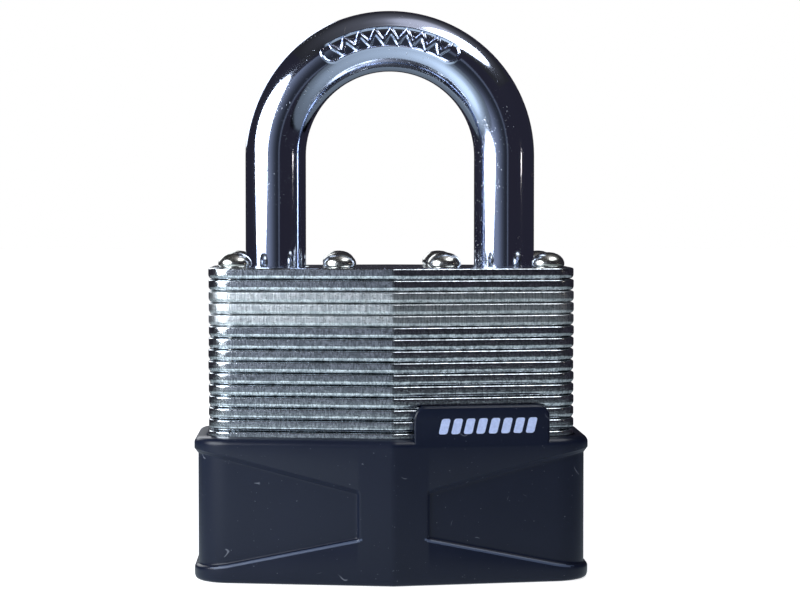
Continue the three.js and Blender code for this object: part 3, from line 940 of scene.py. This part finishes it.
def panel_line(x, ends):
    """The height of a panel's upper or lower edge at a distance from the ridge."""
    share = min(1, max(0, (abs(x) - PANEL_INNER_X) / (PANEL_OUTER_X - PANEL_INNER_X)))
    return ends[0] + share * (ends[1] - ends[0])


def bumper_column(x):
    """The outer face from the foot to the rim at one place on the plan, as (height, growth) pairs."""
    sink = (LIP_GROW - WALL_GROW) * panel_depth(x)
    low = panel_line(x, PANEL_LOW_Z)
    high = panel_line(x, PANEL_HIGH_Z)
    first, last = low + 1.3 * LEDGE_RISE, high - 1.5 * PANEL_SLOPE
    rows = FOOT_ROWS + [(low + rise, LIP_GROW - sink * share) for rise, share in LEDGE_ROWS]
    rows += [(first + (last - first) * i / (WALL_ROWS - 1), LIP_GROW - sink) for i in range(WALL_ROWS)]
    rows += [(high - PANEL_SLOPE * rise, LIP_GROW - sink * share) for rise, share in SLOPE_ROWS]
    rows += [(BUMPER_TOP - drop, grow) for drop, grow in LIP_ROWS]
    return rows + [(FLOOR_TOP, FIT_GROW)]


def on_ledge(spot):
    """Whether a place on the outer face is on the narrow ledge under a sunk panel."""
    rise = spot.z - panel_line(spot.x, PANEL_LOW_Z)
    beside = PANEL_INNER_X < abs(spot.x) < PANEL_OUTER_X and abs(spot.y) > HALF_DEPTH - LEDGE_HIGHLIGHT_REACH
    return beside and LEDGE_HIGHLIGHT_FROM < rise < LEDGE_HIGHLIGHT_TO


def facet_y(x, grow):
    """The front face's depth at x, for a plan that has grown."""
    return -(HALF_DEPTH + grow * FACET_LEAN - FACET_SLOPE * abs(x))


def tab_outline(inset, top):
    """The tab's front outline as (x, z), moved in by inset except at its buried foot."""
    left, right = TAB_LOW_X + inset, TAB_HIGH_X - inset
    radius = TAB_CORNER - inset
    foot = BUMPER_TOP - TAB_BURIED
    points = [(left, foot), (right, foot)]
    for x, start in ((right - radius, 0), (left + radius, 90)):
        for i in range(TAB_CORNER_STEPS + 1):
            angle = math.radians(start + 90 * i / TAB_CORNER_STEPS)
            points.append((x + radius * math.cos(angle), top - inset - radius + radius * math.sin(angle)))
    return points


def tab():
    """The upright tab on the front, with a rounded front edge."""
    top = box_mm("bumper")[1].z
    bm = bmesh.new()
    loops = []
    for inset, sunk in TAB_EDGE:
        loops.append([(x, facet_y(x, LIP_GROW) + sunk, z) for x, z in tab_outline(inset, top)])
    loops.append([(x, facet_y(x, FIT_GROW + 0.02), z) for x, z in tab_outline(0, top)])
    rings = loft(bm, loops)
    fill(bm, rings[0])
    fill(bm, rings[-1])
    return bm


def bumper():
    """The moulded bumper with its tab. Faces on the ledges take the second material, a lighter plastic that
    paints in the highlight where light catches them.
    """
    facet_x = [0.15, 1.2, 2.4, 3.4, 3.9]
    facet_x += steps(PANEL_INNER_X - 0.02, PANEL_INNER_X - 0.02 + PANEL_SLOPE, 0.08)
    facet_x += steps(5.1, 21, 0.9)
    bm = bmesh.new()
    columns = []
    for spot, outward in whole_plan(facet_x):
        rows = [(spot + grow * outward, z) for z, grow in bumper_column(spot.x)]
        columns.append([(place.x, place.y, z) for place, z in rows])
    rings = loft(bm, [list(loop) for loop in zip(*columns)])
    hole = loft(bm, [circle(0, 0, z, radius, BORE_SIDES) for radius, z in BORE_ROWS])
    fill(bm, rings[0], hole[0])
    fill(bm, rings[-1], hole[-1])
    bm = combine(bm, tab(), "UNION")
    # Ledge faces take the lighter plastic of the painted highlight.
    for face in bm.faces:
        spot = face.calc_center_median()
        face.material_index = int(on_ledge(spot) and math.hypot(spot.x, spot.y) > OPENING_RADIUS + 2)
    return bm


# ---- Print on the tab ----
INK_COUNT = 8
INK_FIRST_X = 6.1
INK_LAST_X = 19.8
INK_LOW_Z = 20.6
INK_HIGH_Z = 22.7
INK_GAP = 0.52
INK_SLANT = 0.5
INK_THICKNESS = 0.035
INK_CORNER = 0.3
INK_CORNER_STEPS = 4


def ink_outline(left, right):
    """A slanted block with rounded corners, as (x, z) pairs."""
    outline = []
    corners = [
        (right, INK_LOW_Z, -90),
        (right, INK_HIGH_Z, 0),
        (left, INK_HIGH_Z, 90),
        (left, INK_LOW_Z, 180),
    ]
    for x, z, start in corners:
        centre_x = x - INK_CORNER if x == right else x + INK_CORNER
        centre_z = z - INK_CORNER if z == INK_HIGH_Z else z + INK_CORNER
        for step in range(INK_CORNER_STEPS + 1):
            angle = math.radians(start + 90 * step / INK_CORNER_STEPS)
            px = centre_x + INK_CORNER * math.cos(angle)
            pz = centre_z + INK_CORNER * math.sin(angle)
            outline.append((px + INK_SLANT * (pz - INK_LOW_Z) / (INK_HIGH_Z - INK_LOW_Z), pz))
    return outline


def ink_marks():
    """A plain row of slanted blocks printed on the tab."""
    bm = bmesh.new()
    pitch = (INK_LAST_X - INK_FIRST_X) / INK_COUNT
    for i in range(INK_COUNT):
        left = INK_FIRST_X + i * pitch
        outline = ink_outline(left, left + pitch - INK_GAP)
        front = [(x, facet_y(x, LIP_GROW) - INK_THICKNESS + 0.01, z) for x, z in outline]
        back = [(x, facet_y(x, LIP_GROW) + 0.05, z) for x, z in outline]
        rings = loft(bm, [front, back])
        fill(bm, rings[0])
        fill(bm, rings[-1])
    return bm


# ---- Inside ----
KEYWAY_LOW = -3.5
KEYWAY_HIGH = 3.3
KEYWAY_HALF = 1.1
KEYWAY_TOP = 21.5
WARD = [(-0.6, 1.1), (-0.85, 0.3), (-1.9, 0.3), (-2.15, 1.1)]
PIN_CHAMBER_RADIUS = 1.55
PIN_CHAMBER_FLOOR = 0.7
PLUG_RADIUS = 4.5
PLUG_GROOVE_RADIUS = 3.5
DRIVE_SLOT_HALF = 1.1
DRIVE_SLOT_DEPTH = 0.9
PIN_COUNT = 4
PLUG_SIDES = 72
PIN_SIDES = 32
WIRE_SIDES = 10
RINGS_PER_TURN = 20


def plug():
    """The plug, made with its pin chambers along +X and turned to where they point at -Y."""
    low, high = box_mm("cylinder_plug")
    clip_low, clip_high = box_mm("plug_clip")
    groove = (clip_low.z - 0.05, clip_high.z + 0.1)
    profile = [
        (PLUG_RADIUS - 0.7, high.z),
        (PLUG_RADIUS - 0.4, high.z - 0.25),
        (PLUG_RADIUS - 0.4, groove[1]),
        (PLUG_GROOVE_RADIUS, groove[1]),
        (PLUG_GROOVE_RADIUS, groove[0]),
        (PLUG_RADIUS, groove[0]),
        (PLUG_RADIUS, low.z + 0.35),
        (PLUG_RADIUS - 0.1, low.z + 0.12),
        (PLUG_RADIUS - 0.35, low.z),
    ]
    bm = turned(profile, PLUG_SIDES)
    outline = [(KEYWAY_LOW, -KEYWAY_HALF), (KEYWAY_HIGH, -KEYWAY_HALF), (KEYWAY_HIGH, KEYWAY_HALF)]
    outline += WARD + [(KEYWAY_LOW, KEYWAY_HALF)]
    bm = combine(bm, prism(outline, low.z - 1, KEYWAY_TOP), "DIFFERENCE")
    slot_low = (-PLUG_RADIUS - 1, -DRIVE_SLOT_HALF, high.z - DRIVE_SLOT_DEPTH)
    slot_high = (PLUG_RADIUS + 1, DRIVE_SLOT_HALF, high.z + 1)
    bm = combine(bm, cuboid(slot_low, slot_high), "DIFFERENCE")
    chamber = [p[:2] for p in circle(0, 0, 0, PIN_CHAMBER_RADIUS, PIN_SIDES)]
    for i in range(1, PIN_COUNT + 1):
        pin_low, pin_high = box_mm(f"key_pin_{i}")
        drill = prism(chamber, PIN_CHAMBER_FLOOR, PLUG_RADIUS + 1)
        turn = Matrix.Rotation(math.pi / 2, 4, "Y")
        place = Matrix.Translation((0, 0, (pin_low.z + pin_high.z) / 2))
        bm = combine(bm, moved(drill, place @ turn), "DIFFERENCE")
    return moved(bm, Matrix.Rotation(-math.pi / 2, 4, "Z"))


def pin(node, axis):
    """A pin lying along an axis, with a cone on the key pins' inner ends and small chamfers elsewhere."""
    low, high = box_mm(node)
    middle = (low + high) / 2
    half = (high[axis] - low[axis]) / 2
    radius = (high.z - low.z) / 2
    if axis == 1:
        profile = [(radius - 0.15, -half), (radius, -half + 0.15), (radius, half - 0.9), (0.35, half)]
        turn = Matrix.Rotation(-math.pi / 2, 4, "X")
    else:
        profile = [(radius - 0.2, -half), (radius, -half + 0.2), (radius, half - 0.2), (radius - 0.2, half)]
        turn = Matrix.Rotation(math.pi / 2, 4, "Y")
    return moved(turned(profile, PIN_SIDES), Matrix.Translation(middle) @ turn)


def coil(node, axis, wire, turns):
    """A round-wire coil spring with closed ends, filling the CAD spring's box along an axis."""
    low, high = box_mm(node)
    middle = (low + high) / 2
    length = high[axis] - low[axis]
    mean = (high[1] - low[1]) / 2 - wire
    across = Vector((1, 0, 0)) if axis == 2 else Vector((0, 1, 0))
    up = Vector((0, 1, 0)) if axis == 2 else Vector((0, 0, 1))
    along = across.cross(up)
    start = middle - along * (length / 2)
    samples = turns * RINGS_PER_TURN
    loops = []
    for i in range(samples + 1):
        share = i / samples
        angle = 2 * math.pi * turns * share
        outward = across * math.cos(angle) + up * math.sin(angle)
        centre = start + outward * mean + along * (wire + (length - 2 * wire) * share)
        ring_points = []
        for k in range(WIRE_SIDES):
            spin = 2 * math.pi * k / WIRE_SIDES
            ring_points.append(centre + wire * (math.cos(spin) * outward + math.sin(spin) * along))
        loops.append(ring_points)
    bm = bmesh.new()
    rings = loft(bm, loops)
    bm.faces.new(rings[0])
    bm.faces.new(rings[-1])
    return bm


def end_points(node, axis):
    """The middles of a box's two ends along an axis, in metres."""
    low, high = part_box(node)
    middle = (low + high) / 2
    first, last = middle.copy(), middle.copy()
    first[axis] = low[axis]
    last[axis] = high[axis]
    return first, last


# ---- Assembly ----
PLATE_COUNT = 26
RIVETS_IN_ROW = 4
STACK_SEED = 7


def add_body():
    smooth_zinc = zinc_paint("zinc_plate", (0.44, 0.48, 0.52), (0.90, 0.95, 1), 3.5, 0.009, 0.13, 0.2)
    dull, bright = (0.52, 0.56, 0.59), (0.93, 0.96, 0.98)
    sheared_zinc = zinc_paint("zinc_plate_sheared", dull, bright, 12, 0.04, 0.3, 0.4)
    rng = random.Random(STACK_SEED)
    for number in range(1, PLATE_COUNT + 1):
        node = f"plate_{number:02d}"
        zinc = sheared_zinc if number in SHEARED_PLATES else smooth_zinc
        piece(f"rolled_{node}", plate(node, rng), zinc, node, "body")
    steel = rivet_paint()
    for row in ("front", "back"):
        for i in range(1, RIVETS_IN_ROW + 1):
            node = f"rivet_{row}_{i}"
            piece(f"domed_{node}", rivet(node), steel, node, "body")
    plastic = plastic_paint("bumper_plastic", (0.0043, 0.0072, 0.0192), (0.0063, 0.0098, 0.0252))
    # The ledges' second material: a lighter plastic that paints in the highlight of the light they catch.
    rubbed_wear_and_painted_highlight = plastic_paint("bumper_ledge_painted_highlight", (0.045, 0.062, 0.11), (0.065, 0.085, 0.14))
    shell = piece("moulded_bumper", bumper(), plastic, "bumper", "body")
    shell.data.materials.append(rubbed_wear_and_painted_highlight)
    piece("tab_print", ink_marks(), print_paint(), None, "body")


def add_shackle():
    piece("chrome_shackle", shackle(), chrome_paint(), "shackle", "shackle", sharp=40)


def add_inside():
    brass = plain_metal("cylinder_brass", (0.72, 0.53, 0.25), 0.3, 0.08)
    wire = plain_metal("spring_steel", (0.55, 0.56, 0.58), 0.28, 0.1)
    hard = plain_metal("hardened_steel", (0.42, 0.42, 0.43), 0.38, 0.12)
    piece("turned_plug", plug(), brass, "cylinder_plug", "plug")
    # Each spring's node, axis, wire radius and turns, and the bodies at its box's low and high ends.
    springs = [
        ("shackle_spring", 2, 0.45, 5, "body", "shackle"),
        ("lever_spring_toe", 0, 0.2, 4, "body", "lever_toe"),
        ("lever_spring_heel", 0, 0.2, 4, "lever_heel", "body"),
    ]
    for i in range(1, PIN_COUNT + 1):
        key, driver = f"key_pin_{i}", f"driver_pin_{i}"
        piece(f"turned_{key}", pin(key, 1), brass, key, key)
        piece(f"turned_{driver}", pin(driver, 0), brass, driver, driver)
        springs.append((f"driver_spring_{i}", 0, 0.16, 5, driver, "body"))
    for node, axis, radius, turns, low_body, high_body in springs:
        made = piece(f"coiled_{node}", coil(node, axis, radius, turns), wire, node, None)
        first, last = end_points(node, axis)
        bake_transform(made)
    paints = {"cylinder_brass": brass, "spring_steel": wire, "hardened_steel": hard}
    kept = {
        "cylinder_shell": "cylinder_brass",
        "pin_chamber_cap": "cylinder_brass",
        "plug_clip": "spring_steel",
        "shackle_retaining_clip": "spring_steel",
        "locking_lever_toe": "hardened_steel",
        "locking_lever_heel": "hardened_steel",
        "cam": "hardened_steel",
    }
    for node, slot in kept.items():
        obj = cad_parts[node]
        for holder in obj.material_slots:
            holder.material = paints[slot]


add_camera()
add_floor()
add_cards()
add_lights()
add_world()
add_body()
add_shackle()
add_inside()
